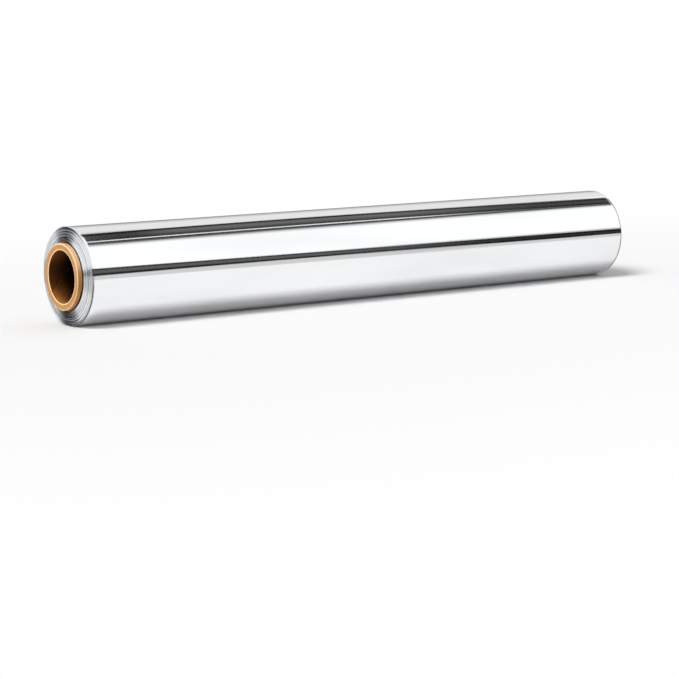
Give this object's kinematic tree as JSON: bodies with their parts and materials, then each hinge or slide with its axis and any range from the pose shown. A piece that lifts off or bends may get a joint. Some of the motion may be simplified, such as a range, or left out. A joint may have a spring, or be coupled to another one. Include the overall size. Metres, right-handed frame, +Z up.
{
  "type": "aluminium foil roll",
  "caption": "Household aluminium foil wound on a kraft board tube, lying on its side on a small flat. The tube stands proud of the winding at both ends and is open right through.",
  "frame": {"origin": "on the surface that the roll lies on, in the middle of the flat that rests there, under the middle of the roll", "axes": "+X along the roll's axis, from the end whose inner turns stand proud to the end whose inner turns are sunk; +Z up; the free edge of the foil faces +Y, a little below the axis"},
  "size_m": [0.306, 0.0423, 0.0422],
  "materials": {
    "foil": "mirror-bright rolled foil, with fine streaks along the rolling direction and grooved, matt ends",
    "kraft_board": "matt kraft board, spiral wound, with lighter cut edges"
  },
  "bodies": {
    "root": {"foil_winding": "foil", "core_tube": "kraft_board"}
  },
  "joints": []
}
